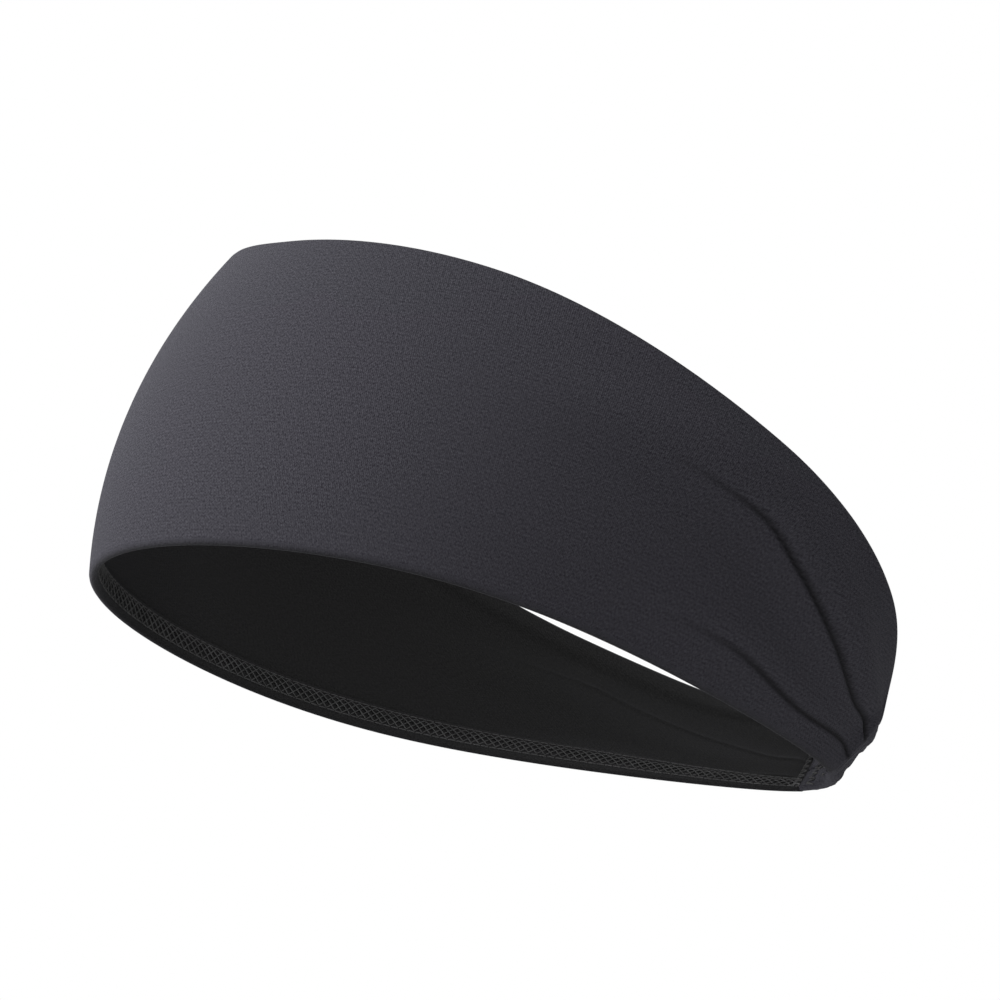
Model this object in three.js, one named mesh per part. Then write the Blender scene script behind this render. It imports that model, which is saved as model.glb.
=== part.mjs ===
// A knitted sports headband, standing open as it does on a head.
//
// Millimetres, +Z up. The forehead faces -Y and the nape faces +Y. The lower edge lies on Z = 0, and seen
// from above the origin is in the middle of the whole band. A place on the wall has three coordinates:
// turn, the angle round the band from the forehead (0) through the wearer's side (90 degrees) to the
// nape (180 degrees); rise, the height above the lower edge; and depth, the distance in from the outer face.

import * as THREE from 'three';

// ---------------------------------------------------------------- the two edges, from above
//
// Each edge is an egg. egg widens the forehead end and narrows the nape end, point sharpens both ends
// (a minus sign blunts them), and fill squares the outline.

const LOWER_EDGE = { halfLength: 99.2, halfBreadth: 59, egg: 0.276, point: 0.043, fill: -0.012, centre: 0 };
const UPPER_EDGE = { halfLength: 106.9, halfBreadth: 83.5, egg: 0.03, point: -0.06, fill: -0.03, centre: 8.4 };

// ---------------------------------------------------------------- the wall's height, straight up

const FOREHEAD_HEIGHT = 95;     // the widest place, middle of the forehead
const BROW_HEIGHT = 83.2;
const TEMPLE_HEIGHT = 74;
const EAR_HEIGHT = 53.5;
const BEHIND_EAR_HEIGHT = 38;
const NECK_HEIGHT = 33;
const GATHER_HEIGHT = 27.2;
const SHOULDER_HEIGHT = 22.5;   // the panel's corner, just before it draws in to the nape strap
const STRAP_HEIGHT = 15;        // the narrow strap at the nape

const BULGE = 4.25;             // how far the middle of the wall stands out, at the sides
const FOREHEAD_BULGE = 3.72;    // added at the forehead, taken off at the nape

// ---------------------------------------------------------------- cloth, elastic and thread

const PLY = 0.9;                // one layer of knit
const GAP = 0.3;                // clearance between layers that touch on the real band
const HEM_WIDTH = 9.5;          // turn-in along both edges
const NAPE_HEM_WIDTH = 5;       // the turn-in where the panel gathers into the strap
const HEM_TAPER_SHARE = 0.3;    // how much of each side the hem takes to reach its full width
const STRAP_HALF_TURN = 15;     // degrees from the middle of the nape to each joining seam
const ELASTIC_THICKNESS = 1.2;
const THREAD_RADIUS = 0.22;
const LOWER_ROW_SHARE = 0.3;    // where the needle rows run, as shares of the hem's width
const UPPER_ROW_SHARE = 0.88;
const STITCH_PITCH = 4.2;       // one full zigzag of the looper thread
const SEAM_STITCH_PITCH = 2.4;
const SEAM_STITCH_REACH = 2.4;  // how far the seam thread reaches to each side of the joint
const TACK_REACH = 1.2;
const TACK_INSET = 6;           // degrees from the joining seam to the tack that holds the elastic
const FOLD_CHAMFER = 0.3;

// ---------------------------------------------------------------- how finely the shapes are cut

const PANEL_STEPS = 96;
const WALL_STEPS = 7;
const HEM_STEPS = 2;
const STRAP_STEPS = 14;
const CASING_STEPS = 6;

// ---------------------------------------------------------------- the wall's surface

const rad = THREE.MathUtils.degToRad;
const NAPE = Math.PI;

// Height stations: [share of the way from the nape (0) round either side to the forehead (1), height].
const HEIGHT_STATIONS = [
  [0, STRAP_HEIGHT],
  [STRAP_HALF_TURN / 180, STRAP_HEIGHT],
  [0.11, SHOULDER_HEIGHT],
  [0.14, GATHER_HEIGHT],
  [0.19, NECK_HEIGHT],
  [0.25, BEHIND_EAR_HEIGHT],
  [0.4, EAR_HEIGHT],
  [0.6, TEMPLE_HEIGHT],
  [0.8, BROW_HEIGHT],
  [1, FOREHEAD_HEIGHT],
];

function secant(i) {
  const [x0, y0] = HEIGHT_STATIONS[i];
  const [x1, y1] = HEIGHT_STATIONS[i + 1];
  return (y1 - y0) / (x1 - x0);
}

// Slopes that keep the height from overshooting between stations.
const HEIGHT_SLOPES = HEIGHT_STATIONS.map((station, i) => {
  if (i === 0 || i === HEIGHT_STATIONS.length - 1) return 0;
  const before = secant(i - 1);
  const after = secant(i);
  return before * after <= 0 ? 0 : (2 * before * after) / (before + after);
});

// The angle from the nape to a turn, the same on both sides of the head.
function fromNape(turn) {
  return Math.acos(-Math.cos(turn));
}

function heightAt(turn) {
  const t = fromNape(turn) / NAPE;
  let i = 0;
  while (i < HEIGHT_STATIONS.length - 2 && t > HEIGHT_STATIONS[i + 1][0]) i += 1;
  const [x0, y0] = HEIGHT_STATIONS[i];
  const [x1, y1] = HEIGHT_STATIONS[i + 1];
  const span = x1 - x0;
  const u = (t - x0) / span;
  const rise = u * u * (3 - 2 * u);
  return y0 + (y1 - y0) * rise
    + span * HEIGHT_SLOPES[i] * u * (1 - u) * (1 - u)
    - span * HEIGHT_SLOPES[i + 1] * u * u * (1 - u);
}

function edgePoint(edge, turn) {
  const across = Math.sin(turn) + (edge.egg / 2) * Math.sin(2 * turn) + edge.fill * Math.sin(3 * turn);
  const along = Math.cos(turn) + edge.point * Math.cos(3 * turn);
  return new THREE.Vector3(edge.halfBreadth * across, edge.centre - edge.halfLength * along, 0);
}

// The straight wall between the two edges, before it bulges.
function ruledPoint(turn, share) {
  return edgePoint(LOWER_EDGE, turn).lerp(edgePoint(UPPER_EDGE, turn), share);
}

const TINY_TURN = 1e-3;
const TINY_RISE = 0.05;
const STEEPEST = 0.9;

// Level and square to the line that runs round the wall through this place.
function outward(turn, share) {
  const tangent = ruledPoint(turn + TINY_TURN, share).sub(ruledPoint(turn - TINY_TURN, share)).normalize();
  return new THREE.Vector3(tangent.y, -tangent.x, 0);
}

function outerPoint(turn, rise) {
  const share = rise / heightAt(turn);
  const out = 4 * (BULGE + FOREHEAD_BULGE * Math.cos(turn)) * share * (1 - share);
  const point = ruledPoint(turn, share).addScaledVector(outward(turn, share), out);
  return point.setZ(rise);
}

// A point inside the wall. It moves in level with the floor, so that the folds stay flat on Z = 0, and
// far enough that the depth is true where the wall leans. The limit keeps the inner layers from shooting
// inwards at the shoulder, where the height changes fast.
function wallPoint(turn, rise, depth) {
  const alongTurn = outerPoint(turn + TINY_TURN, rise).sub(outerPoint(turn - TINY_TURN, rise));
  const alongRise = outerPoint(turn, rise + TINY_RISE).sub(outerPoint(turn, rise - TINY_RISE));
  const normal = alongTurn.cross(alongRise).normalize();
  const out = outward(turn, rise / heightAt(turn));
  return outerPoint(turn, rise).addScaledVector(out, -depth / Math.max(STEEPEST, out.dot(normal)));
}

function lowerEdge(turn) {
  return outerPoint(turn, 0);
}

// Millimetres along the wall's face for each radian of turn.
function perRadian(turn, rise) {
  return outerPoint(turn + TINY_TURN, rise).distanceTo(outerPoint(turn, rise)) / TINY_TURN;
}

// Turns spaced evenly by angle, which brings the steps closer together round the two tight ends.
function evenAngles(from, to, steps) {
  return Array.from({ length: steps + 1 }, (_, i) => from + ((to - from) * i) / steps);
}

// Turns spaced evenly along an edge, as stitches are, and that edge's length.
const EDGE_SAMPLES = 720;

function evenStitches(edge, from, to, steps) {
  const samples = EDGE_SAMPLES;
  const lengths = [0];
  for (let i = 1; i <= samples; i += 1) {
    const a = edge(from + ((to - from) * (i - 1)) / samples);
    const b = edge(from + ((to - from) * i) / samples);
    lengths.push(lengths[i - 1] + a.distanceTo(b));
  }
  const total = lengths[samples];
  const turns = [];
  let j = 0;
  for (let k = 0; k <= steps; k += 1) {
    const want = (total * k) / steps;
    while (j < samples - 1 && lengths[j + 1] < want) j += 1;
    const share = (want - lengths[j]) / (lengths[j + 1] - lengths[j]);
    turns.push(from + ((to - from) * (j + share)) / samples);
  }
  return { turns, total };
}

// ---------------------------------------------------------------- closed bodies from sections

// A section seen along the way that the body runs, in two dimensions.
function flattened(section, next) {
  const forward = next[0].clone().sub(section[0]).normalize();
  const turned = new THREE.Quaternion().setFromUnitVectors(forward, new THREE.Vector3(0, 0, 1));
  const standing = section.map((point) => point.clone().applyQuaternion(turned));
  return standing.map(({ x, y }) => new THREE.Vector2(x, y));
}

// The triangles that close one end, each turned the way that the section's corners run.
function endTriangles(flat) {
  const faces = THREE.ShapeUtils.triangulateShape(flat, []);
  const face = faces[0].map((i) => flat[i]);
  const follows = THREE.ShapeUtils.area(flat) * THREE.ShapeUtils.area(face) > 0;
  return follows ? faces : faces.map(([a, b, c]) => [c, b, a]);
}

// One closed body through a list of sections, each the same number of corners in the same order.
function loft(sections) {
  const corners = sections[0].length;
  const ends = sections.length - 1;
  const positions = sections.flat().flatMap((point) => point.toArray());
  const index = [];
  for (let i = 0; i < ends; i += 1) {
    for (let k = 0; k < corners; k += 1) {
      const a = i * corners + k;
      const b = i * corners + ((k + 1) % corners);
      index.push(a, b, b + corners, a, b + corners, a + corners);
    }
  }
  for (const [a, b, c] of endTriangles(flattened(sections[0], sections[1]))) {
    index.push(c, b, a);
  }
  const last = ends * corners;
  for (const [a, b, c] of endTriangles(flattened(sections[ends], sections[ends - 1]))) {
    index.push(last + a, last + b, last + c);
  }
  const geometry = new THREE.BufferGeometry();
  geometry.setAttribute('position', new THREE.Float32BufferAttribute(positions, 3));
  geometry.setIndex(signedVolume(positions, index) > 0 ? index : index.reverse());
  geometry.computeVertexNormals();
  return geometry;
}

function signedVolume(positions, index) {
  const corner = (i) => new THREE.Vector3().fromArray(positions, 3 * index[i]);
  let volume = 0;
  for (let i = 0; i < index.length; i += 3) {
    volume += corner(i).dot(corner(i + 1).cross(corner(i + 2))) / 6;
  }
  return volume;
}

// Corners along one layer at a constant depth, which follow the wall's bulge.
function layer(fromRise, toRise, depth, steps) {
  return evenAngles(fromRise, toRise, steps).map((rise) => [rise, depth]);
}

// A body whose section, a list of [rise, depth] corners, is carried round the wall.
function carried(turns, sectionAt) {
  return loft(turns.map((turn, i) =>
    sectionAt(turn, i).map(([rise, depth]) => wallPoint(turn, rise, depth))));
}

// ---------------------------------------------------------------- main panel with its two hems

const SEAM_TURN = NAPE - rad(STRAP_HALF_TURN);
const halfGapTurn = GAP / 2 / perRadian(SEAM_TURN, 0);
const PANEL_END = SEAM_TURN - halfGapTurn;
const STRAP_START = SEAM_TURN + halfGapTurn;

// The turn-in's width, which narrows smoothly into the nape.
function hemWidthAt(turn) {
  const fromSeam = (fromNape(turn) - fromNape(SEAM_TURN)) / SEAM_TURN;
  const ease = THREE.MathUtils.smoothstep(fromSeam, 0, HEM_TAPER_SHARE);
  return NAPE_HEM_WIDTH + (HEM_WIDTH - NAPE_HEM_WIDTH) * ease;
}

const HEM_STACK = 2 * PLY + GAP;

// The knit is one ply: up the outer face, folded in over the top, down the upper turn-in, and the same
// at the bottom. The slit between wall and turn-in is one GAP wide.
function panelSection(turn) {
  const height = heightAt(turn);
  const hem = hemWidthAt(turn);
  return [
    [0, HEM_STACK - FOLD_CHAMFER],
    [0, FOLD_CHAMFER],
    ...layer(FOLD_CHAMFER, height - FOLD_CHAMFER, 0, WALL_STEPS),
    [height, FOLD_CHAMFER],
    [height, HEM_STACK - FOLD_CHAMFER],
    ...layer(height - FOLD_CHAMFER, height - hem, HEM_STACK, HEM_STEPS),
    ...layer(height - hem, height - PLY, PLY + GAP, HEM_STEPS),
    ...layer(height - PLY, PLY, PLY, WALL_STEPS),
    ...layer(PLY, hem, PLY + GAP, HEM_STEPS),
    ...layer(hem, FOLD_CHAMFER, HEM_STACK, HEM_STEPS),
  ];
}

const panelTurns = evenAngles(-PANEL_END, PANEL_END, PANEL_STEPS);
const mainPanel = carried(panelTurns, panelSection);

// ---------------------------------------------------------------- nape strap: elastic in a casing

const ELASTIC_FACE = PLY + GAP;
const ELASTIC_BACK = ELASTIC_FACE + ELASTIC_THICKNESS;
const CASING_INNER_FACE = ELASTIC_BACK + GAP;
const CASING_STACK = CASING_INNER_FACE + PLY;

// The casing is one strip wrapped round the elastic, its two edges a GAP apart down the inner face.
function casingSection(turn) {
  const width = heightAt(turn);
  const slitLow = width / 2 - GAP / 2;
  const slitHigh = width / 2 + GAP / 2;
  return [
    ...layer(0, width, 0, CASING_STEPS),
    ...layer(width, slitHigh, CASING_STACK, CASING_STEPS / 2),
    ...layer(slitHigh, width - PLY, CASING_INNER_FACE, CASING_STEPS / 2),
    ...layer(width - PLY, PLY, PLY, CASING_STEPS),
    ...layer(PLY, slitLow, CASING_INNER_FACE, CASING_STEPS / 2),
    ...layer(slitLow, 0, CASING_STACK, CASING_STEPS / 2),
  ];
}

function elasticSection(turn) {
  const edge = PLY + GAP;
  const top = heightAt(turn) - edge;
  return [
    ...layer(edge, top, ELASTIC_FACE, CASING_STEPS),
    ...layer(top, edge, ELASTIC_BACK, CASING_STEPS),
  ];
}

const strapTurns = evenAngles(STRAP_START, 2 * NAPE - STRAP_START, STRAP_STEPS);
const napeCasing = carried(strapTurns, casingSection);
const napeElastic = carried(strapTurns, elasticSection);

// ---------------------------------------------------------------- sewing threads

const HEM_THREAD_DEPTH = HEM_STACK + GAP + THREAD_RADIUS;
const STRAP_THREAD_DEPTH = CASING_STACK + GAP + THREAD_RADIUS;

// A thread's section where it runs round the band, as [rise, depth] corners.
function threadSection(rise, depth) {
  return [
    [rise - THREAD_RADIUS, depth], [rise, depth - THREAD_RADIUS],
    [rise + THREAD_RADIUS, depth], [rise, depth + THREAD_RADIUS],
  ];
}

// Only the lower hem is sewn. The upper turn-in is taken to be bonded, and its film of glue isn't a piece.
//
// A needle row runs so far up the turn-in, along the same steps as the panel, all but its two ends.
function needleThread(share) {
  const sectionAt = (turn) => threadSection(share * hemWidthAt(turn), HEM_THREAD_DEPTH);
  return carried(panelTurns.slice(1, -1), sectionAt);
}

const THREAD_END = panelTurns[PANEL_STEPS - 1];

// The looper thread zigzags between the two needle rows and stops just short of each.
function looperThread() {
  const { total } = evenStitches(lowerEdge, -THREAD_END, THREAD_END, 1);
  const strokes = 2 * Math.round(total / STITCH_PITCH);
  const { turns } = evenStitches(lowerEdge, -THREAD_END, THREAD_END, strokes);
  const clear = 2 * THREAD_RADIUS + 2 * GAP;
  return carried(turns, (turn, i) => {
    const rise = i % 2 === 0
      ? LOWER_ROW_SHARE * hemWidthAt(turn) + clear
      : UPPER_ROW_SHARE * hemWidthAt(turn) - clear;
    return threadSection(rise, HEM_THREAD_DEPTH);
  });
}

// A thread that climbs the strap and zigzags across a line at one turn.
function climbingThread(turn, reach) {
  const climb = STRAP_HEIGHT - 2 * SEAM_STITCH_PITCH;
  const strokes = 2 * Math.round(climb / SEAM_STITCH_PITCH);
  const sections = [];
  for (let i = 0; i <= strokes; i += 1) {
    const rise = SEAM_STITCH_PITCH + (climb * i) / strokes;
    const scale = perRadian(turn, rise);
    const across = turn + ((i % 2 === 0 ? -1 : 1) * reach) / scale;
    const half = THREAD_RADIUS / scale;
    sections.push([
      wallPoint(across - half, rise, STRAP_THREAD_DEPTH),
      wallPoint(across, rise, STRAP_THREAD_DEPTH - THREAD_RADIUS),
      wallPoint(across + half, rise, STRAP_THREAD_DEPTH),
      wallPoint(across, rise, STRAP_THREAD_DEPTH + THREAD_RADIUS),
    ]);
  }
  return loft(sections);
}

const TACK_TURN = SEAM_TURN + rad(TACK_INSET);

// The casing's own seam: a zigzag over the slit down the strap's inner face, between the two tacks.
function casingSeamThread() {
  const from = TACK_TURN + (TACK_REACH + SEAM_STITCH_PITCH) / perRadian(TACK_TURN, STRAP_HEIGHT / 2);
  const to = 2 * NAPE - from;
  const { total } = evenStitches(lowerEdge, from, to, 1);
  const strokes = 2 * Math.round(total / SEAM_STITCH_PITCH);
  const { turns } = evenStitches(lowerEdge, from, to, strokes);
  return carried(turns, (turn, i) => {
    const across = (i % 2 === 0 ? -1 : 1) * TACK_REACH;
    return threadSection(STRAP_HEIGHT / 2 + across, STRAP_THREAD_DEPTH);
  });
}

// ---------------------------------------------------------------- materials and assembly

const knit = new THREE.MeshStandardMaterial({ color: 0x3c3b41, roughness: 0.9, metalness: 0 });
const elasticWeave = new THREE.MeshStandardMaterial({ color: 0x1d1d1f, roughness: 0.8, metalness: 0 });
const thread = new THREE.MeshStandardMaterial({ color: 0x232325, roughness: 0.7, metalness: 0 });

const band = new THREE.Group();

function add(name, geometry, material) {
  const mesh = new THREE.Mesh(geometry, material);
  mesh.name = name;
  band.add(mesh);
}

add('main_panel', mainPanel, knit);
add('nape_casing', napeCasing, knit);
add('nape_elastic', napeElastic, elasticWeave);

add('hem_edge_needle_thread', needleThread(LOWER_ROW_SHARE), thread);
add('hem_inner_needle_thread', needleThread(UPPER_ROW_SHARE), thread);
add('hem_looper_thread', looperThread(), thread);
add('casing_seam_thread', casingSeamThread(), thread);

for (const [side, mirror] of [['right', 1], ['left', -1]]) {
  add(`${side}_joining_seam_thread`, climbingThread(mirror * SEAM_TURN, SEAM_STITCH_REACH), thread);
  add(`${side}_elastic_tack_thread`, climbingThread(mirror * TACK_TURN, TACK_REACH), thread);
}

// The origin goes to the middle of the whole band's box, seen from above.
const middle = new THREE.Box3().setFromObject(band).getCenter(new THREE.Vector3());
band.position.set(-middle.x, -middle.y, 0);

export default band;
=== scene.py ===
# %% [markdown]
# # A wide knitted sports headband
#
# The real thing is a band of thin stretch jersey, about 97 mm wide at the forehead. The lower edge is
# turned in and held by a cover stitch, and the upper one is turned in and taken to be bonded. At the nape
# the cloth is pleated into a short strap, which is a casing of the same knit round a strip of woven
# elastic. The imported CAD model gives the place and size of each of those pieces. This file gives them
# cloth, pleats, thread and light.

# %% Load the frame
import math

import bmesh
import bpy
import numpy as np
from mathutils import Matrix, Vector
from mathutils.geometry import tessellate_polygon


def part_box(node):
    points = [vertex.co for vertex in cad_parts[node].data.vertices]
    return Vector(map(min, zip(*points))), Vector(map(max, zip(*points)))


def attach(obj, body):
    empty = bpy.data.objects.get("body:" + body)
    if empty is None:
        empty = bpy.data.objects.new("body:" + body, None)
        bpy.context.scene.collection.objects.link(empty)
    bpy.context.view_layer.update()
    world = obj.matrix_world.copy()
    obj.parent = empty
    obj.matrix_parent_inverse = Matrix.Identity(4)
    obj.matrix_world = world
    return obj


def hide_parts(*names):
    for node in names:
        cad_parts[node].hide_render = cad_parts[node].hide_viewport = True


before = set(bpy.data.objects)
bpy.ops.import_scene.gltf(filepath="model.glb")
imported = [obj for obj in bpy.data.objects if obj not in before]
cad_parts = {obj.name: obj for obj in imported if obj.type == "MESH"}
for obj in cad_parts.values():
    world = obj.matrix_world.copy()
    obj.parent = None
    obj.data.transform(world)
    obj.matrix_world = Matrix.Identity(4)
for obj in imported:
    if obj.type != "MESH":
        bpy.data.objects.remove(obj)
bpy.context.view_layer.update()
scene = bpy.context.scene
MM = 0.001

# %% [markdown]
# ## The camera
#
# The camera comes first, because every later choice is judged through it. It looks up at the band from
# beyond the wearer's side and below the lower edge, so that the black inner face shows under the near
# wall. A camera's own turn is easiest to set as three directions, right, up and back, which are the
# columns of its rotation matrix. A small roll tips the band's forehead up in the frame.

# %% Camera
AZIMUTH = math.radians(79.2)
ELEVATION = math.radians(-24.8)
ROLL = math.radians(-12.35)
DISTANCE = 616.4 * MM
LENS = 81.8
SENSOR = 36.0
LOOK_AT = Vector((0, -1.1 * MM, 45 * MM))
SLIDE_RIGHT = -1.5 * MM
SLIDE_UP = 8.2 * MM

level = math.cos(ELEVATION)
back = Vector((math.sin(AZIMUTH) * level, -math.cos(AZIMUTH) * level, math.sin(ELEVATION)))
plain_right = (-back).cross(Vector((0, 0, 1))).normalized()
plain_up = plain_right.cross(-back)
camera_right = plain_right * math.cos(ROLL) - plain_up * math.sin(ROLL)
camera_up = plain_right * math.sin(ROLL) + plain_up * math.cos(ROLL)

camera = bpy.data.objects.new("camera", bpy.data.cameras.new("camera"))
scene.collection.objects.link(camera)
camera.data.lens = LENS
camera.data.sensor_width = SENSOR
turned = Matrix((camera_right, camera_up, back)).transposed()
eye = LOOK_AT + back * DISTANCE + camera_right * SLIDE_RIGHT + camera_up * SLIDE_UP
camera.matrix_world = Matrix.Translation(eye) @ turned.to_4x4()
scene.camera = camera
print("camera at", [round(x, 3) for x in eye])

# %% [markdown]
# ## The shape of the wall
#
# A headband on a head is a ruled wall between two loops: a small egg below and a wider, blunter one
# above. Each loop is a circle's cosine and sine with a few overtones added, which is far shorter than a
# list of points and has no flat spots. The wall's height is a smooth curve through a few stations. A
# point on the wall has three coordinates: the turn round the head from the forehead, the rise above the
# lower edge, and the depth in from the outer face. Numpy works out many points in one call.

# %% Driving sizes of the wall
LOWER_EDGE = dict(half_length=99.2 * MM, half_breadth=59 * MM, centre=0, egg=0.276, point=0.043, fill=-0.012)
UPPER_EDGE = dict(half_length=106.9 * MM, half_breadth=83.5 * MM, centre=8.4 * MM, egg=0.03, point=-0.06,
                  fill=-0.03)
BULGE = 4.25 * MM
FOREHEAD_BULGE = 3.72 * MM
STRAP_HALF_TURN = math.radians(15)

forehead_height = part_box("main_panel")[1].z
strap_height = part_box("nape_casing")[1].z
HEIGHT_STATIONS = np.array([
    (0, strap_height),
    (STRAP_HALF_TURN / math.pi, strap_height),
    (0.11, 22.5 * MM),
    (0.14, 27.2 * MM),
    (0.19, 33 * MM),
    (0.25, 38 * MM),
    (0.4, 53.5 * MM),
    (0.6, 74 * MM),
    (0.8, 83.2 * MM),
    (1, forehead_height),
])


# %% The wall's height at a turn
def smooth_slopes(stations):
    """Slopes that keep a curve through the stations from overshooting."""
    secants = np.diff(stations[:, 1]) / np.diff(stations[:, 0])
    slopes = np.zeros(len(stations))
    for i in range(1, len(stations) - 1):
        before, after = secants[i - 1], secants[i]
        if before * after > 0:
            slopes[i] = 2 * before * after / (before + after)
    return slopes


def curve_through(stations, at):
    """The smooth curve through (place, value) stations, read at many places."""
    slopes = smooth_slopes(stations)
    i = np.clip(np.searchsorted(stations[:, 0], at, side="right") - 1, 0, len(stations) - 2)
    x0, y0 = stations[i, 0], stations[i, 1]
    x1, y1 = stations[i + 1, 0], stations[i + 1, 1]
    span = x1 - x0
    u = np.clip((at - x0) / span, 0, 1)
    ease = u * u * (3 - 2 * u)
    return y0 + (y1 - y0) * ease + span * (slopes[i] * u * (1 - u) ** 2 - slopes[i + 1] * u * u * (1 - u))


def from_nape(turn):
    """The angle from the nape, the same on both sides of the head."""
    return np.arccos(-np.cos(turn))


def height_at(turn):
    return curve_through(HEIGHT_STATIONS, from_nape(turn) / math.pi)


# %% The smooth outer face
TINY_TURN = 1e-3
TINY_RISE = 0.05 * MM


def edge_line(edge, turn):
    across = np.sin(turn) + edge["egg"] / 2 * np.sin(2 * turn) + edge["fill"] * np.sin(3 * turn)
    along = np.cos(turn) + edge["point"] * np.cos(3 * turn)
    level_point = (edge["half_breadth"] * across, edge["centre"] - edge["half_length"] * along)
    return np.stack(level_point, -1)


def ruled_wall(turn, share):
    share = share[..., None]
    return edge_line(LOWER_EDGE, turn) * (1 - share) + edge_line(UPPER_EDGE, turn) * share


def outward(turn, share):
    """Level and square to the line that runs round the wall through a place."""
    tangent = ruled_wall(turn + TINY_TURN, share) - ruled_wall(turn - TINY_TURN, share)
    tangent /= np.linalg.norm(tangent, axis=-1, keepdims=True)
    return np.stack([tangent[..., 1], -tangent[..., 0]], -1)


def smooth_face(turn, rise):
    turn, rise = np.broadcast_arrays(turn, rise)
    share = rise / height_at(turn)
    out = 4 * (BULGE + FOREHEAD_BULGE * np.cos(turn)) * share * (1 - share)
    level_point = ruled_wall(turn, share) + outward(turn, share) * out[..., None]
    return np.concatenate([level_point, rise[..., None]], -1)


forehead = smooth_face(np.zeros(1), np.linspace(0, forehead_height, 200))
TO_FRAME = np.array([0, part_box("main_panel")[0].y - forehead[:, 1].min(), 0])
print("shift along Y to the frame, mm:", round(TO_FRAME[1] / MM, 3))

# %% [markdown]
# ## The pleats
#
# The panel narrows from its full width to the strap, and stretch cloth that is narrowed like that folds.
# Each side has two long pleats that start as a soft hollow behind the temple and end as a sharp crease
# at the strap's seam. A simulation would put them somewhere else each time, so they are listed: a
# line on the wall, and a profile across it with a sharp valley, a round ridge above and a broad hollow
# below. The line is given by a few stations, and the same curve as the wall's height runs through them.
# The soft inner face takes up half of each pleat, so it stays nearly plain.

# %% Pleat lines and their profile
SEAM_TURN = math.pi - STRAP_HALF_TURN


def pleat(stations, valley, ridge, hollow, width, soft_from, sharp_from):
    """A pleat's line as (turn in degrees, share of the height), and its depths and reach."""
    line = np.array([(math.radians(turn), share) for turn, share in stations])
    turns = math.radians(soft_from), math.radians(sharp_from)
    return dict(line=line, valley=valley, ridge=ridge, hollow=hollow, width=width, turns=turns)


PLEATS = [
    pleat([(80, 0.64), (101, 0.69), (111, 0.705), (121, 0.645), (135, 0.56), (151, 0.48), (165, 0.6)],
          valley=1.1 * MM, ridge=1.9 * MM, hollow=1.5 * MM, width=6.0 * MM, soft_from=74, sharp_from=106),
    pleat([(70, 0.2), (97, 0.15), (122, 0.21), (141, 0.17), (165, 0.28)],
          valley=0.6 * MM, ridge=0.7 * MM, hollow=0.6 * MM, width=4.0 * MM, soft_from=64, sharp_from=118),
]
VALLEY_HALF_WIDTH = 0.6 * MM
INNER_PLEAT_SHARE = 0.5
PLEAT_SHARPENS = 0.25
FULL_PLEAT_HEIGHT = 45 * MM
LEAST_PLEAT_SHARE = 0.42
SEAM_FADE = 3.5 * MM
nape_step = smooth_face(np.array([SEAM_TURN, SEAM_TURN + TINY_TURN]), np.full(2, strap_height / 2))
NAPE_RADIUS = np.linalg.norm(nape_step[1] - nape_step[0]) / TINY_TURN
print("radius of the band at the seam, mm:", round(NAPE_RADIUS / MM, 1))


def smoothstep(value, low, high):
    u = np.clip((value - low) / (high - low), 0, 1)
    return u * u * (3 - 2 * u)


def distance_to_seam(turn):
    """How far a turn is from the nearer joining seam, along the middle of the wall."""
    across = np.abs(from_nape(turn) - STRAP_HALF_TURN)
    return across * NAPE_RADIUS


def pleat_depth(turn, share):
    """How far the cloth stands out from the smooth face, pleats and small ripples together."""
    side_turn = math.pi - from_nape(turn)
    height = height_at(turn)
    total = np.zeros(np.broadcast(turn, share).shape)
    for fold in PLEATS:
        soft, sharp = fold["turns"]
        away = (share - curve_through(fold["line"], side_turn)) * height
        narrowing = np.clip(height / FULL_PLEAT_HEIGHT, LEAST_PLEAT_SHARE, 1)
        width = fold["width"] * narrowing
        growth = smoothstep(side_turn, soft, sharp)
        crisp = smoothstep(side_turn, sharp - PLEAT_SHARPENS, sharp + PLEAT_SHARPENS)
        ridge = fold["ridge"] * growth * narrowing * np.exp(-((away / width - 1.0) ** 2))
        hollow = fold["hollow"] * growth * narrowing * np.exp(-((away / width + 1.3) / 1.2) ** 2)
        valley = fold["valley"] * crisp * np.exp(-np.abs(away / VALLEY_HALF_WIDTH) ** 1.4)
        total = total + ridge - hollow - valley
    near_seam = smoothstep(distance_to_seam(turn), 0, SEAM_FADE)
    return total * near_seam


# %% A point inside the wall
PLY = 0.9 * MM
STEEPEST = 0.9


def wall_normal(turn, rise):
    """The smooth face's outward normal."""
    turn, rise = np.broadcast_arrays(turn, rise)
    along = smooth_face(turn + TINY_TURN, rise) - smooth_face(turn - TINY_TURN, rise)
    upward = smooth_face(turn, rise + TINY_RISE) - smooth_face(turn, rise - TINY_RISE)
    normal = np.cross(along, upward)
    return normal / np.linalg.norm(normal, axis=-1, keepdims=True)


def wall_point(turn, rise, depth):
    """A point at a depth below the pleated face. It moves in level, so the folds stay flat underneath."""
    turn, rise, depth = np.broadcast_arrays(turn, rise, depth)
    share = rise / height_at(turn)
    way = outward(turn, share)
    way = np.concatenate([way, np.zeros_like(share)[..., None]], -1)
    facing = np.maximum(STEEPEST, (way * wall_normal(turn, rise)).sum(-1))
    felt = 1 - (1 - INNER_PLEAT_SHARE) * smoothstep(depth, 0, PLY)
    out = (felt * pleat_depth(turn, np.clip(share, 0, 1)) - depth) / facing
    return smooth_face(turn, rise) + way * out[..., None] + TO_FRAME


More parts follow.
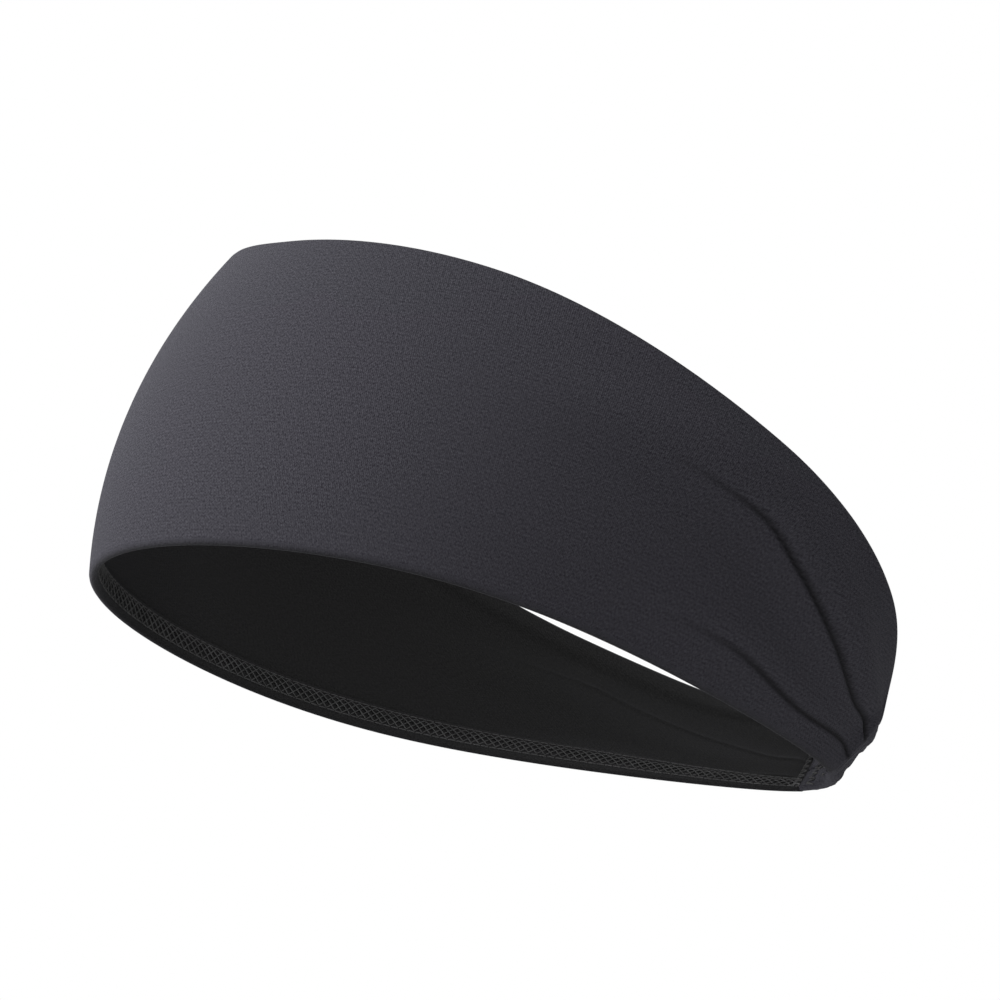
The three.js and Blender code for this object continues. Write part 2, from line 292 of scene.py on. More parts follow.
# %% [markdown]
# ## One cloth, carried round the wall
#
# The panel is a single ply of knit. Its section goes up the outer face, folds in over the top and runs
# down the bonded turn-in, which is pressed so flat that it thins away into the wall. Then it goes down the
# wall's inner face and into the sewn hem, where the slit behind the turn-in and the cut edge are both
# open. A bevelled block could never show them. So the section is written as a list of (rise, depth)
# corners, each an array with one value for each turn, and a helper carries it round the wall. Two things
# are stored on the way, because the knit follows the cloth and not the room: a UV map that is measured
# along the cloth, and an attribute that says how far inside a point is.

# %% Cloth sizes
GAP = 0.3 * MM
HEM_STACK = 2 * PLY + GAP
FOLD_RADIUS = HEM_STACK / 2
HEM_WIDTH = 9.5 * MM
NAPE_HEM_WIDTH = 5 * MM
HEM_TAPER_SHARE = 0.3
EDGE_ROUND = 0.25 * MM
FEATHER = 0.5


def hem_width_at(turn):
    taper = smoothstep((from_nape(turn) - STRAP_HALF_TURN) / SEAM_TURN, 0, HEM_TAPER_SHARE)
    return NAPE_HEM_WIDTH + (HEM_WIDTH - NAPE_HEM_WIDTH) * taper


# %% Helpers that write a section
def straight(start, end, steps, depth):
    """Corners from one rise towards another, without the last, at one depth."""
    return [(start + (end - start) * i / steps, depth) for i in range(steps)]


def fold_over(edge, side, radius, depth, steps, back=False):
    """Corners round a fold, from its shallow face to its deep one, or back. Side is 1 at the top edge."""
    angles = [math.pi * i / steps for i in range(steps)]
    angles = [math.pi - a for a in angles] if back else angles
    centre = edge - side * radius
    return [(centre + side * radius * math.sin(a), depth + radius - radius * math.cos(a)) for a in angles]


def feathered(start, end, steps):
    """Corners where a bonded turn-in thins away into the single ply."""
    made = []
    for i in range(steps):
        ease = 0.5 - 0.5 * math.cos(math.pi * i / steps)
        made.append((start + (end - start) * i / steps, HEM_STACK + (PLY - HEM_STACK) * ease))
    return made


# %% Helper that carries a section round the wall
def carry(name, turns, section, **shades):
    """A closed mesh. Section lists (rise, depth) corners, and each shade is a value for each corner."""
    rise = np.stack([np.broadcast_to(r, turns.shape) for r, _ in section], 1)
    depth = np.stack([np.broadcast_to(d, turns.shape) for _, d in section], 1)
    points = wall_point(turns[:, None], rise, depth)
    rows, corners = rise.shape
    index = np.arange(rows * corners).reshape(rows, corners)
    here, there = index[:-1], index[1:]
    faces = np.stack([here, there, np.roll(there, -1, 1), np.roll(here, -1, 1)], -1)
    faces = faces.reshape(-1, 4).tolist()
    for row, flip in ((0, False), (rows - 1, True)):
        outline = [Vector((rise[row, k], depth[row, k], 0)) for k in range(corners)]
        for a, b, c in tessellate_polygon([outline]):
            faces.append([int(index[row, k]) for k in ((a, c, b) if flip else (a, b, c))])
    mesh = bpy.data.meshes.new(name)
    mesh.from_pydata(points.reshape(-1, 3).tolist(), [], faces)
    piece = bpy.data.objects.new(name, mesh)
    scene.collection.objects.link(piece)
    point_outwards(mesh)
    store_cloth_coordinates(mesh, turns, rise, depth)
    for shade, values in shades.items():
        attribute = mesh.attributes.new(shade, "FLOAT", "POINT")
        attribute.data.foreach_set("value", np.broadcast_to(values, rise.shape).astype(np.float32).ravel())
    mesh.shade_smooth()
    print(name, "has", len(mesh.polygons), "faces")
    return piece


def point_outwards(mesh):
    """A closed mesh whose faces all point in has a negative volume. The caps are turned to match."""
    build = bmesh.new()
    build.from_mesh(mesh)
    bmesh.ops.recalc_face_normals(build, faces=build.faces)
    if build.calc_volume(signed=True) < 0:
        bmesh.ops.reverse_faces(build, faces=build.faces)
    build.to_mesh(mesh)
    build.free()


def store_cloth_coordinates(mesh, turns, rise, depth):
    """A UV map in millimetres along the cloth: round the band, and along the section."""
    middle = wall_point(turns, height_at(turns) / 2, np.zeros_like(turns))
    around = np.concatenate([[0], np.linalg.norm(np.diff(middle, axis=0), axis=1).cumsum()])
    step = np.hypot(np.diff(rise, axis=1), np.diff(depth, axis=1))
    along = np.concatenate([np.zeros((len(turns), 1)), step.cumsum(1)], 1)
    place = np.stack([np.broadcast_to(around[:, None], along.shape), along], -1).reshape(-1, 2) / MM
    corner = np.zeros(len(mesh.loops), np.int32)
    mesh.loops.foreach_get("vertex_index", corner)
    uv = mesh.uv_layers.new(name="cloth")
    uv.data.foreach_set("uv", place[corner].astype(np.float32).ravel())


# %% [markdown]
# ## The main panel
#
# The steps round the wall are even in angle, which draws them together round the tight forehead and nape,
# and they are closer again over the pleated stretch beside each seam. Across the wall they are less than
# two millimetres apart, and they close up by themselves where the wall narrows and the pleats turn sharp.

# %% Main panel
WALL_STEPS = 84
HEM_STEPS = 7
FOLD_STEPS = 7
SLIT_STEPS = 3
PLEATED_FROM = math.radians(100)
FRONT_STEPS = 84
PLEATED_STEPS = 100


def panel_turns():
    end = SEAM_TURN - GAP / 2 / NAPE_RADIUS
    front = np.linspace(0, PLEATED_FROM, FRONT_STEPS, endpoint=False)
    pleated = np.linspace(PLEATED_FROM, end, PLEATED_STEPS)
    half = np.concatenate([front, pleated])
    return np.concatenate([-half[:0:-1], half])


def padded_at_seam(corners, turns):
    """Thickens the single ply between the hems where the gathered cloth is sewn to the strap."""
    height, hem = height_at(turns), hem_width_at(turns)
    near = 1 - smoothstep(distance_to_seam(turns), 0, SEAM_FADE)
    made = []
    for rise, depth in corners:
        between = smoothstep(rise, hem, hem + 1 * MM) * smoothstep(height - hem - rise, 0, 1 * MM)
        made.append((rise, depth + (HEM_STACK - PLY) * near * between))
    return made


def panel_section(turns):
    """The section's (rise, depth) corners, and how far towards the inner face each corner is."""
    height, hem = height_at(turns), hem_width_at(turns)
    slit, cut = PLY + GAP, EDGE_ROUND
    slit_end = PLY
    bonded_end = height - hem
    feather_from = height - (1 - FEATHER) * hem
    parts = [
        (0, straight(FOLD_RADIUS, height - FOLD_RADIUS, WALL_STEPS, 0)),
        (None, fold_over(height, 1, FOLD_RADIUS, 0, FOLD_STEPS)),
        (1, straight(height - FOLD_RADIUS, feather_from, HEM_STEPS, HEM_STACK)),
        (1, feathered(feather_from, bonded_end, HEM_STEPS)),
        (1, padded_at_seam(straight(bonded_end, slit_end + GAP / 2, WALL_STEPS, PLY), turns)),
        (1, fold_over(slit_end, -1, GAP / 2, PLY, 2)),
        (1, straight(slit_end + GAP / 2, hem - cut, SLIT_STEPS, slit)),
        (1, [(hem - cut, slit), (hem, slit + cut), (hem, HEM_STACK - cut)]),
        (1, straight(hem - cut, FOLD_RADIUS, HEM_STEPS, HEM_STACK)),
        (None, fold_over(0 * height, -1, FOLD_RADIUS, 0, FOLD_STEPS, back=True)),
    ]
    section = [corner for _, corners in parts for corner in corners]
    inside = []
    for face, corners in parts:
        depths = [float(np.mean(d)) / HEM_STACK for _, d in corners]
        inside += depths if face is None else [face] * len(corners)
    return section, np.array(inside)


def crease_shade(turns, section, inside):
    """Painted shade along the bottom of a pleat's valley on the outer face: 1 there, and 0 away from it."""
    turn = turns[:, None]
    share = np.stack([np.broadcast_to(r, turns.shape) for r, _ in section], 1) / height_at(turn)
    side_turn = math.pi - from_nape(turn)
    shade = np.zeros(share.shape)
    for fold in PLEATS:
        away = (share - curve_through(fold["line"], side_turn)) * height_at(turn)
        crisp = smoothstep(side_turn, fold["turns"][1] - PLEAT_SHARPENS, fold["turns"][1] + PLEAT_SHARPENS)
        shade = np.maximum(shade, crisp * np.exp(-((away / VALLEY_HALF_WIDTH) ** 2)))
    return shade * (inside == 0)


turns = panel_turns()
section, inside = panel_section(turns)
# Painted shade along the folded edges: 1 at the middle of each fold, 0 on the flat faces.
fold_shade = 1 - np.abs(2 * inside - 1)
panel = carry("headband_panel", turns, section, inside=inside, fold=fold_shade,
              crease=crease_shade(turns, section, inside))

# %% [markdown]
# ## The nape strap
#
# The strap is a casing of the same knit, wrapped round a strip of elastic and closed down its inner face.
# The elastic is sewn in stretched, so when it shortens the casing ruffles into small upright gathers. The
# gathers are a ripple in the casing's depth: uneven, deepest between the seams, and none at the seams
# themselves, where the cloth is held flat. The same section helper makes the casing and the elastic.

# %% Nape casing and elastic
ELASTIC_THICKNESS = 1.2 * MM
ELASTIC_RIBS = 9
RIB_DEPTH = 0.16 * MM
ELASTIC_FACE = PLY + GAP
ELASTIC_BACK = ELASTIC_FACE + ELASTIC_THICKNESS
CASING_INNER_FACE = ELASTIC_BACK + GAP
CASING_STACK = CASING_INNER_FACE + PLY
CASING_RADIUS = CASING_STACK / 2
STRAP_TURNS = 150
CASING_STEPS = 12
GATHER_DEPTH = 0.2 * MM
GATHERS = 13
SEAM_PINCH = 0.15


def gather(turn, share):
    """How far the casing stands off the elastic. Two waves that don't quite agree make it uneven."""
    along = (from_nape(turn) / STRAP_HALF_TURN).clip(0, 1)
    held = 1 - smoothstep(along, 0.72, 1.0)
    phase = np.sign(np.sin(turn)) * along * math.pi * GATHERS / 2
    wave = np.cos(phase + 0.8 * np.sin(5 * share)) + 0.45 * np.cos(1.63 * phase + 1.3 + 2 * share)
    return GATHER_DEPTH * held * (1 + wave / 1.45)


def ruffled(turns, section, swell=1.0):
    """The section with both its faces swollen by the gathers, and pinched thin at the two seams."""
    pinch = 1 - SEAM_PINCH * (1 - smoothstep(distance_to_seam(turns), 0, SEAM_FADE))
    made = []
    for rise, depth in section:
        outward = 1 - 2 * depth / CASING_STACK
        made.append((rise, depth * pinch - swell * outward * gather(turns, rise / height_at(turns))))
    return made


def casing_section(turns):
    height = height_at(turns)
    middle = height / 2
    lip = GAP / 2
    inner_radius = (CASING_INNER_FACE - PLY) / 2
    outer = [
        *straight(CASING_RADIUS, height - CASING_RADIUS, CASING_STEPS, 0),
        *fold_over(height, 1, CASING_RADIUS, 0, FOLD_STEPS),
        *straight(height - CASING_RADIUS, middle + lip, CASING_STEPS // 2, CASING_STACK),
        (middle + lip, CASING_STACK),
    ]
    lining = [
        *straight(middle + lip, height - PLY - inner_radius, CASING_STEPS // 2, CASING_INNER_FACE),
        *fold_over(height - PLY, 1, inner_radius, PLY, FOLD_STEPS, back=True),
        *straight(height - PLY - inner_radius, PLY + inner_radius, CASING_STEPS, PLY),
        *fold_over(PLY + 0 * height, -1, inner_radius, PLY, FOLD_STEPS),
        *straight(PLY + inner_radius, middle - lip, CASING_STEPS // 2, CASING_INNER_FACE),
        (middle - lip, CASING_INNER_FACE),
    ]
    closing = [
        *straight(middle - lip, CASING_RADIUS, CASING_STEPS // 2, CASING_STACK),
        *fold_over(0 * height, -1, CASING_RADIUS, 0, FOLD_STEPS, back=True),
    ]
    inside = [0] * len(outer) + [1] * len(lining) + [0] * len(closing)
    return outer + lining + closing, np.array(inside)


def elastic_section(turns):
    """A strip with lengthwise ribs on both faces, as woven elastic has."""
    low, high = ELASTIC_FACE, height_at(turns) - ELASTIC_FACE
    steps = 4 * ELASTIC_RIBS
    ribs = [RIB_DEPTH * (0.5 - 0.5 * math.cos(2 * math.pi * i / 4)) for i in range(steps)]
    front = straight(low, high, steps, ELASTIC_FACE)
    rear = straight(high, low, steps, ELASTIC_BACK)
    front = [(r, d + rib) for (r, d), rib in zip(front, ribs)]
    return front + [(r, d - rib) for (r, d), rib in zip(rear, ribs)]


strap_reach = STRAP_HALF_TURN - GAP / 2 / NAPE_RADIUS
strap_turns = np.linspace(math.pi - strap_reach, math.pi + strap_reach, STRAP_TURNS)
section, inside = casing_section(strap_turns)
casing = carry("nape_casing_knit", strap_turns, ruffled(strap_turns, section), inside=inside,
               fold=0.0, crease=0.0)
elastic = carry("nape_elastic_strip", strap_turns,
                ruffled(strap_turns, elastic_section(strap_turns), swell=0.0))

# %% [markdown]
# ## Stitches
#
# A cover stitch holds the lower hem: two rows of needle thread, and a looper thread that crosses between them
# on the inner face, where it looks like a narrow net. That is one small shape repeated a few hundred
# times along a line, which is what Geometry Nodes are for. Python lays the line, with the wall's normal
# and the net's width stored on it. The node tree resamples the line to even steps, makes one stitch from
# curves and puts a copy on each step, turned to the line and the wall. Realize Instances makes them real
# faces, and the result is kept as a plain mesh.

# %% Thread sizes
THREAD_RADIUS = 0.21 * MM
LOWER_ROW_SHARE = 0.3
UPPER_ROW_SHARE = 0.88
NET_PITCH = 2.4 * MM
NEEDLE_PITCH = 2.4 * MM
SEAM_PITCH = 2.4 * MM
SEAM_REACH = 1.3 * MM
TACK_REACH = 1.2 * MM
TACK_INSET = math.radians(6)
STITCH_STEPS = 7


# %% Small helpers for node trees
def node(tree, kind, inputs=None, **settings):
    """A node with its settings and inputs. An input is a value or another node's output socket."""
    made = tree.nodes.new(kind)
    for name, value in settings.items():
        setattr(made, name, value)
    for name, value in (inputs or {}).items():
        if isinstance(value, bpy.types.NodeSocket):
            tree.links.new(value, made.inputs[name])
        else:
            made.inputs[name].default_value = value
    return made


def maths(tree, operation, a, b=0.0, c=0.0):
    return node(tree, "ShaderNodeMath", {0: a, 1: b, 2: c}, operation=operation).outputs[0]


# %% The stitch trees
def stitch_curve(tree, start, end, lift, steps, radius):
    """One thread from start to end, lifted off the cloth in the middle, as a tube."""
    line = node(tree, "GeometryNodeCurvePrimitiveLine", {"Start": start, "End": end}).outputs[0]
    fine = node(tree, "GeometryNodeResampleCurve", {"Curve": line, "Count": steps}).outputs[0]
    along = node(tree, "GeometryNodeSplineParameter").outputs["Factor"]
    arch = maths(tree, "SINE", maths(tree, "MULTIPLY", along, math.pi))
    raised = node(tree, "ShaderNodeCombineXYZ", {"Z": maths(tree, "MULTIPLY", arch, lift)}).outputs[0]
    bent = node(tree, "GeometryNodeSetPosition", {"Geometry": fine, "Offset": raised}).outputs[0]
    ring = node(tree, "GeometryNodeCurvePrimitiveCircle", {"Resolution": 5, "Radius": radius}).outputs[0]
    tube = node(tree, "GeometryNodeCurveToMesh", {"Curve": bent, "Profile Curve": ring, "Fill Caps": True})
    return tube.outputs[0]


def stitch_tree(name, strands, finish):
    """Strands are (from across, to across, from along, to along, lift) in shares of width and pitch."""
    tree = bpy.data.node_groups.new(name, "GeometryNodeTree")
    ports = tree.interface
    ports.new_socket("Line", in_out="INPUT", socket_type="NodeSocketGeometry")
    for label in ("Pitch", "Width", "Thread Radius", "Lift"):
        ports.new_socket(label, in_out="INPUT", socket_type="NodeSocketFloat")
    ports.new_socket("Stitches", in_out="OUTPUT", socket_type="NodeSocketGeometry")
    given = tree.nodes.new("NodeGroupInput").outputs
    shapes = node(tree, "GeometryNodeJoinGeometry")
    for across_from, across_to, along_from, along_to, lift in strands:
        ends = []
        for across, along in ((across_from, along_from), (across_to, along_to)):
            spot = {"X": maths(tree, "MULTIPLY", given["Pitch"], along),
                    "Y": maths(tree, "MULTIPLY", given["Width"], across)}
            ends.append(node(tree, "ShaderNodeCombineXYZ", spot).outputs[0])
        height = maths(tree, "MULTIPLY", given["Lift"], lift)
        tube = stitch_curve(tree, ends[0], ends[1], height, STITCH_STEPS, given["Thread Radius"])
        tree.links.new(tube, shapes.inputs[0])
    line = node(tree, "GeometryNodeMeshToCurve", {"Mesh": given["Line"]}).outputs[0]
    even = node(tree, "GeometryNodeResampleCurve", {"Curve": line, "Length": given["Pitch"]}, mode="LENGTH")
    tangent = node(tree, "GeometryNodeInputTangent").outputs[0]
    normal = node(tree, "GeometryNodeInputNamedAttribute", {"Name": "wall_normal"},
                  data_type="FLOAT_VECTOR").outputs["Attribute"]
    narrow = node(tree, "GeometryNodeInputNamedAttribute", {"Name": "width_share"},
                  data_type="FLOAT").outputs["Attribute"]
    follow = node(tree, "FunctionNodeAlignRotationToVector", {"Vector": tangent}, axis="X").outputs[0]
    stand = node(tree, "FunctionNodeAlignRotationToVector", {"Rotation": follow, "Vector": normal},
                 axis="Z", pivot_axis="X").outputs[0]
    size = node(tree, "ShaderNodeCombineXYZ", {"X": 1.0, "Y": narrow, "Z": 1.0}).outputs[0]
    copies = node(tree, "GeometryNodeInstanceOnPoints", {
        "Points": even.outputs[0], "Instance": shapes.outputs[0], "Rotation": stand, "Scale": size})
    real = node(tree, "GeometryNodeRealizeInstances", {"Geometry": copies.outputs[0]}).outputs[0]
    smooth = node(tree, "GeometryNodeSetShadeSmooth", {"Geometry": real}).outputs[0]
    dressed = node(tree, "GeometryNodeSetMaterial", {"Geometry": smooth, "Material": finish}).outputs[0]
    tree.links.new(dressed, tree.nodes.new("NodeGroupOutput").inputs[0])
    return tree


# %% [markdown]
# ## Finishes
#
# Jersey is columns of small V-shaped loops. On a black band the loops are hardly darker than their gaps,
# so what the eye takes for cloth is mostly the bump, a soft sheen at grazing angles and a faint, uneven
# mottle in the dye. All of it is drawn from the cloth's own UV map, so the grain runs round the band and
# turns in with the hems. The inner face is the same yarn in black. Painted shade darkens the fold along
# each edge and the bottom of each sharp pleat valley.

# %% Knit finish
WALE = 0.95
COURSE = 0.8


def finish(name, roughness, specular, sheen=0.0, sheen_roughness=0.5, sheen_tint=(1, 1, 1, 1)):
    """A node material with its one-value settings on the shader's own sockets."""
    material = bpy.data.materials.new(name)
    material.use_nodes = True
    shader = material.node_tree.nodes["Principled BSDF"]
    shader.inputs["Roughness"].default_value = roughness
    shader.inputs["Specular IOR Level"].default_value = specular
    shader.inputs["Sheen Weight"].default_value = sheen
    shader.inputs["Sheen Roughness"].default_value = sheen_roughness
    shader.inputs["Sheen Tint"].default_value = sheen_tint
    return material, material.node_tree, shader


def blend_colours(tree, share, first, second):
    mixed = node(tree, "ShaderNodeMix", {"Factor": share}, data_type="RGBA")
    for socket, value in ((mixed.inputs[6], first), (mixed.inputs[7], second)):
        if isinstance(value, bpy.types.NodeSocket):
            tree.links.new(value, socket)
        else:
            socket.default_value = value
    return mixed.outputs[2]


def attribute(tree, name):
    return node(tree, "ShaderNodeAttribute", attribute_name=name).outputs["Fac"]


def knit_finish(name, outer, inner):
    material, tree, shader = finish(name, 0.85, 0.03, sheen=0.03, sheen_roughness=0.45,
                                    sheen_tint=(0.8, 0.8, 0.9, 1))
    place = node(tree, "ShaderNodeUVMap", uv_map="cloth").outputs[0]
    drift = node(tree, "ShaderNodeTexNoise", {"Vector": place, "Scale": 0.35, "Detail": 2.0})
    axes = node(tree, "ShaderNodeSeparateXYZ", {0: place}).outputs
    wobble = maths(tree, "MULTIPLY_ADD", drift.outputs["Fac"], 0.5, -0.25)
    wale = maths(tree, "ADD", maths(tree, "DIVIDE", axes["X"], WALE), wobble)
    course = maths(tree, "ADD", maths(tree, "DIVIDE", axes["Y"], COURSE), wobble)
    # Two legs to each wale. A leg is round across, and its loops slope one way or the other.
    across = maths(tree, "ABSOLUTE", maths(tree, "SUBTRACT", maths(tree, "FRACT", wale), 0.5))
    leg = maths(tree, "ABSOLUTE", maths(tree, "MULTIPLY_ADD", across, 4.0, -1.0))
    round_leg = maths(tree, "SUBTRACT", 1.0, maths(tree, "POWER", leg, 2.0))
    slope = maths(tree, "ADD", course, maths(tree, "MULTIPLY", across, 1.6))
    loops = maths(tree, "SINE", maths(tree, "MULTIPLY", slope, 2 * math.pi))
    loops = maths(tree, "MULTIPLY_ADD", loops, 0.35, 0.65)
    stitch = maths(tree, "MULTIPLY", round_leg, loops)
    fuzz = node(tree, "ShaderNodeTexNoise", {"Vector": place, "Scale": 2.6, "Detail": 3.0}).outputs["Fac"]
    relief = maths(tree, "MULTIPLY_ADD", fuzz, 0.7, stitch)
    mottle = node(tree, "ShaderNodeTexNoise",
                  {"Vector": place, "Scale": 1.7, "Detail": 4.0, "Roughness": 0.7}).outputs["Fac"]
    dye = blend_colours(tree, attribute(tree, "inside"), outer, inner)
    dark = blend_colours(tree, 0.45, dye, (0.0, 0.0, 0.0, 1))
    fluff = blend_colours(tree, attribute(tree, "inside"), OUTER_FLUFF, INNER_FLUFF)
    light = blend_colours(tree, 0.1, dye, fluff)
    shade = maths(tree, "MULTIPLY_ADD", stitch, 0.45, maths(tree, "MULTIPLY_ADD", mottle, 2.4, -0.95))
    knit = blend_colours(tree, shade, dark, light)
    # Painted shade: the folded edges and the bottom of each sharp pleat valley are mixed towards near-black.
    painted_shade = maths(tree, "MAXIMUM", attribute(tree, "fold"), attribute(tree, "crease"))
    knit_with_painted_shade = blend_colours(tree, maths(tree, "MULTIPLY", painted_shade, 0.85), knit, (0.0015, 0.0015, 0.0015, 1))
    bump = node(tree, "ShaderNodeBump", {"Strength": 0.55, "Distance": 0.12 * MM, "Height": relief})
    tree.links.new(knit_with_painted_shade, shader.inputs["Base Color"])
    tree.links.new(bump.outputs[0], shader.inputs["Normal"])
    return material


OUTER_DYE = (0.0086, 0.0081, 0.0110, 1)
INNER_DYE = (0.0030, 0.0030, 0.0030, 1)
OUTER_FLUFF = (0.14, 0.14, 0.152, 1)
INNER_FLUFF = (0.075, 0.075, 0.075, 1)
knit = knit_finish("charcoal_jersey", OUTER_DYE, INNER_DYE)


# %% Elastic and thread finishes
def elastic_finish():
    material, tree, shader = finish("black_woven_elastic", 0.6, 0.25)
    place = node(tree, "ShaderNodeUVMap", uv_map="cloth").outputs[0]
    axes = node(tree, "ShaderNodeSeparateXYZ", {0: place}).outputs
    picks = maths(tree, "SINE", maths(tree, "MULTIPLY", axes["X"], 9.0))
    ribs = maths(tree, "SINE", maths(tree, "MULTIPLY", axes["Y"], 5.0))
    weave = maths(tree, "MULTIPLY", picks, ribs)
    shade = maths(tree, "MULTIPLY_ADD", weave, 0.5, 0.5)
    dyed = blend_colours(tree, shade, (0.010, 0.010, 0.011, 1), (0.026, 0.026, 0.028, 1))
    bump = node(tree, "ShaderNodeBump", {"Strength": 0.6, "Distance": 0.15 * MM, "Height": weave})
    tree.links.new(dyed, shader.inputs["Base Color"])
    tree.links.new(bump.outputs[0], shader.inputs["Normal"])
    return material


def thread_finish():
    material, tree, shader = finish("black_polyester_thread", 0.6, 0.12)
    place = node(tree, "ShaderNodeTexCoord").outputs["Object"]
    twist = node(tree, "ShaderNodeTexWave", {"Vector": place, "Scale": 900.0, "Distortion": 1.5},
                 bands_direction="DIAGONAL").outputs["Fac"]
    tone = node(tree, "ShaderNodeTexNoise", {"Vector": place, "Scale": 260.0, "Detail": 2.0}).outputs["Fac"]
    dyed = blend_colours(tree, tone, (0.008, 0.008, 0.008, 1), (0.028, 0.028, 0.0285, 1))
    bump = node(tree, "ShaderNodeBump", {"Strength": 0.4, "Distance": 0.05 * MM, "Height": twist})
    tree.links.new(dyed, shader.inputs["Base Color"])
    tree.links.new(bump.outputs[0], shader.inputs["Normal"])
    return material


elastic_weave = elastic_finish()
thread = thread_finish()
for piece, dress in ((panel, knit), (casing, knit), (elastic, elastic_weave)):
    piece.data.materials.append(dress)


# %% Lay the stitch lines
def stitch_line(turns, rise, depth, width_share=1.0, lean=0.0):
    """A bare line of edges on the inner face, with the way in from the wall stored at each point."""
    turns, rise, depth = np.broadcast_arrays(turns, rise, depth)
    mesh = bpy.data.meshes.new("stitch_line")
    points = wall_point(turns, rise, depth)
    edges = [(i, i + 1) for i in range(len(points) - 1)]
    mesh.from_pydata(points.tolist(), edges, [])
    inward = -wall_normal(turns, rise)
    side = smooth_face(turns + TINY_TURN, rise) - smooth_face(turns - TINY_TURN, rise)
    side /= np.linalg.norm(side, axis=-1, keepdims=True)
    inward = inward + lean * side
    facing = mesh.attributes.new("wall_normal", "FLOAT_VECTOR", "POINT")
    facing.data.foreach_set("vector", inward.astype(np.float32).ravel())
    narrow = mesh.attributes.new("width_share", "FLOAT", "POINT")
    narrow.data.foreach_set("value", np.broadcast_to(width_share, turns.shape).astype(np.float32))
    return mesh


def sew(name, line, tree, **sizes):
    """Runs a stitch tree along a line and keeps the result as a plain mesh."""
    helper = bpy.data.objects.new(name + "_line", line)
    scene.collection.objects.link(helper)
    modifier = helper.modifiers.new("stitches", "NODES")
    modifier.node_group = tree
    sockets = {item.name: item.identifier for item in tree.interface.items_tree}
    for label, value in sizes.items():
        modifier[sockets[label.replace("_", " ")]] = value
    seen = helper.evaluated_get(bpy.context.evaluated_depsgraph_get())
    mesh = bpy.data.meshes.new_from_object(seen)
    bpy.data.objects.remove(helper)
    piece = bpy.data.objects.new(name, mesh)
    scene.collection.objects.link(piece)
    print(name, "has", len(mesh.polygons), "faces")
    return piece


# %% Hem stitches
net_tree = stitch_tree("looper_net", [(-0.5, 0.5, -1.0, 1.0, 1.0), (0.5, -0.5, -1.0, 1.0, 2.0)], thread)
needle_tree = stitch_tree("needle_row", [(0, 0, -0.43, 0.43, 1.0)], thread)
cross_tree = stitch_tree("zigzag", [(-0.5, 0.5, -0.5, 0.0, 1.0), (0.5, -0.5, 0.0, 0.5, 1.0)], thread)
thread_end = panel_turns()[-1] - math.radians(0.6)
hem_turns = np.linspace(-thread_end, thread_end, 1200)
NET_WIDTH = (UPPER_ROW_SHARE - LOWER_ROW_SHARE) * HEM_WIDTH
NEEDLE_LIFT = 0.12 * MM
threads = {}


def hem_row(share):
    """The rise of a row that is so far across the hem from the edge."""
    return share * hem_width_at(hem_turns)


width = hem_width_at(hem_turns) / HEM_WIDTH
line = stitch_line(hem_turns, hem_row((LOWER_ROW_SHARE + UPPER_ROW_SHARE) / 2), HEM_STACK, width)
threads["hem_looper_thread"] = sew("hem_looper_net", line, net_tree, Pitch=NET_PITCH, Width=NET_WIDTH,
                                   Thread_Radius=THREAD_RADIUS, Lift=THREAD_RADIUS)
for row, share in (("edge", LOWER_ROW_SHARE), ("inner", UPPER_ROW_SHARE)):
    line = stitch_line(hem_turns, hem_row(share), HEM_STACK)
    threads[f"hem_{row}_needle_thread"] = sew(
        f"hem_{row}_needle_row", line, needle_tree, Pitch=NEEDLE_PITCH, Width=0.0,
        Thread_Radius=THREAD_RADIUS, Lift=NEEDLE_LIFT)


# %% Strap stitches
def climbing_line(turn, depth, lean=0.0):
    rise = np.linspace(0.6 * SEAM_PITCH, strap_height - 0.6 * SEAM_PITCH, 40)
    return stitch_line(np.full(40, turn), rise, depth, lean=lean)


SEAM_LEAN = 0.22
for side, mirror in (("right", 1), ("left", -1)):
    line = climbing_line(mirror * SEAM_TURN, CASING_STACK + 2 * THREAD_RADIUS, lean=-mirror * SEAM_LEAN)
    threads[f"{side}_joining_seam_thread"] = sew(
        f"{side}_joining_seam_zigzag", line, cross_tree, Pitch=SEAM_PITCH, Width=2 * SEAM_REACH,
        Thread_Radius=THREAD_RADIUS, Lift=2 * THREAD_RADIUS)
    line = climbing_line(mirror * (SEAM_TURN + TACK_INSET), CASING_STACK + THREAD_RADIUS)
    threads[f"{side}_elastic_tack_thread"] = sew(
        f"{side}_elastic_tack_zigzag", line, cross_tree, Pitch=SEAM_PITCH, Width=2 * TACK_REACH,
        Thread_Radius=THREAD_RADIUS, Lift=THREAD_RADIUS)

slit_from = SEAM_TURN + TACK_INSET + (TACK_REACH + SEAM_PITCH) / NAPE_RADIUS
slit_turns = np.linspace(slit_from, 2 * math.pi - slit_from, 120)
slit_line = stitch_line(slit_turns, strap_height / 2, CASING_STACK + gather(slit_turns, np.full(120, 0.5)))
threads["casing_seam_thread"] = sew(
    "casing_seam_zigzag", slit_line, cross_tree, Pitch=SEAM_PITCH, Width=2 * TACK_REACH,
    Thread_Radius=THREAD_RADIUS, Lift=THREAD_RADIUS)

# %% [markdown]
# ## Floor and light
#
# The band is held clear of the floor, since the camera looks up at it. A white world gives the even white
# ground of a product shot and fills the shadows. One broad lamp, high and towards the forehead, draws the
# slow change from light to dark across the outer face. A smaller one over the nape picks out the cloth
# above the upper pleat.

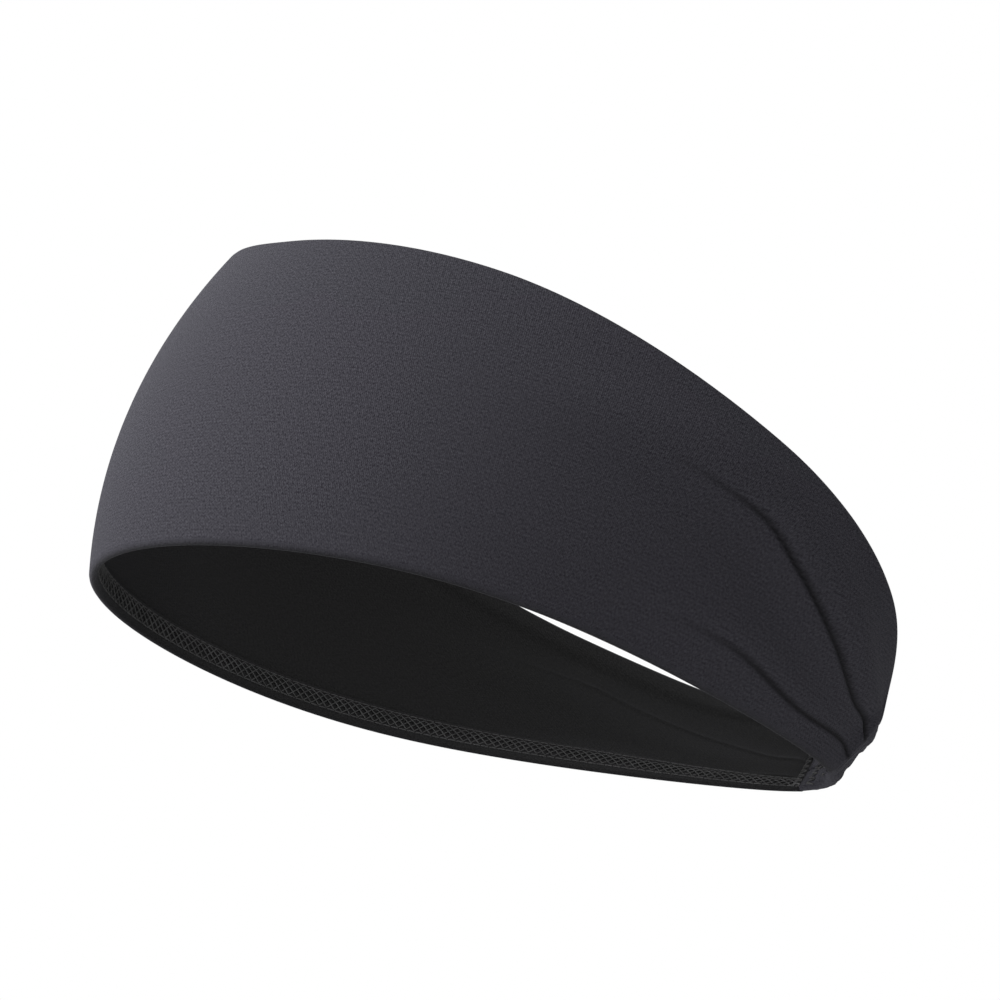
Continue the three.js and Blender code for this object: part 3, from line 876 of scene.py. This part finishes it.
# %% Floor, world and lamps
FLOOR_DEPTH = 300 * MM
floor_mesh = bpy.data.meshes.new("floor")
reach = 6.0
floor_mesh.from_pydata([(-reach, -reach, -FLOOR_DEPTH), (reach, -reach, -FLOOR_DEPTH),
                        (reach, reach, -FLOOR_DEPTH), (-reach, reach, -FLOOR_DEPTH)], [], [(0, 1, 2, 3)])
floor = bpy.data.objects.new("floor", floor_mesh)
scene.collection.objects.link(floor)
pale, _, pale_shader = finish("pale_floor", 0.9, 0.1)
pale_shader.inputs["Base Color"].default_value = (0.86, 0.86, 0.86, 1)
floor_mesh.materials.append(pale)

world = bpy.data.worlds.new("white_studio")
world.use_nodes = True
world.node_tree.nodes["Background"].inputs["Color"].default_value = (1, 1, 1, 1)
world.node_tree.nodes["Background"].inputs["Strength"].default_value = 1.0
scene.world = world
scene.view_settings.view_transform = "Standard"


def lamp(name, towards, distance, width, power):
    """A square area lamp that faces the band."""
    light = bpy.data.objects.new(name, bpy.data.lights.new(name, "AREA"))
    light.data.size = width
    light.data.energy = power
    direction = Vector(towards).normalized()
    light.location = LOOK_AT + direction * distance
    light.rotation_mode = "QUATERNION"
    light.rotation_quaternion = direction.to_track_quat("Z", "Y")
    scene.collection.objects.link(light)


lamp("key_lamp", back * 0.4 - camera_right * 1.05 + camera_up * 0.6, 1.1, 0.6, 43)
lamp("rim_lamp", back * 0.3 + camera_right * 0.25 + camera_up, 1.0, 0.35, 9)

# %% [markdown]
# ## What each piece stands for
#
# Every new piece rides on the one body and hides the plain CAD solid that it stands for.

# %% Ride and replace
ride_list = [(panel, "knit_fabric", "main_panel"), (casing, "knit_fabric", "nape_casing"),
             (elastic, "elastic", "nape_elastic")]
ride_list += [(piece, "sewing_thread", cad_node) for cad_node, piece in threads.items()]
for piece, slot_name, cad_node in ride_list:
    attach(piece, "root")
    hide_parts(cad_node)

# The panel is cut on a taper, so its cut width, hems included, is found at each turn.
middle = smooth_face(turns, height_at(turns) / 2)
widths = height_at(turns) + 2 * hem_width_at(turns)
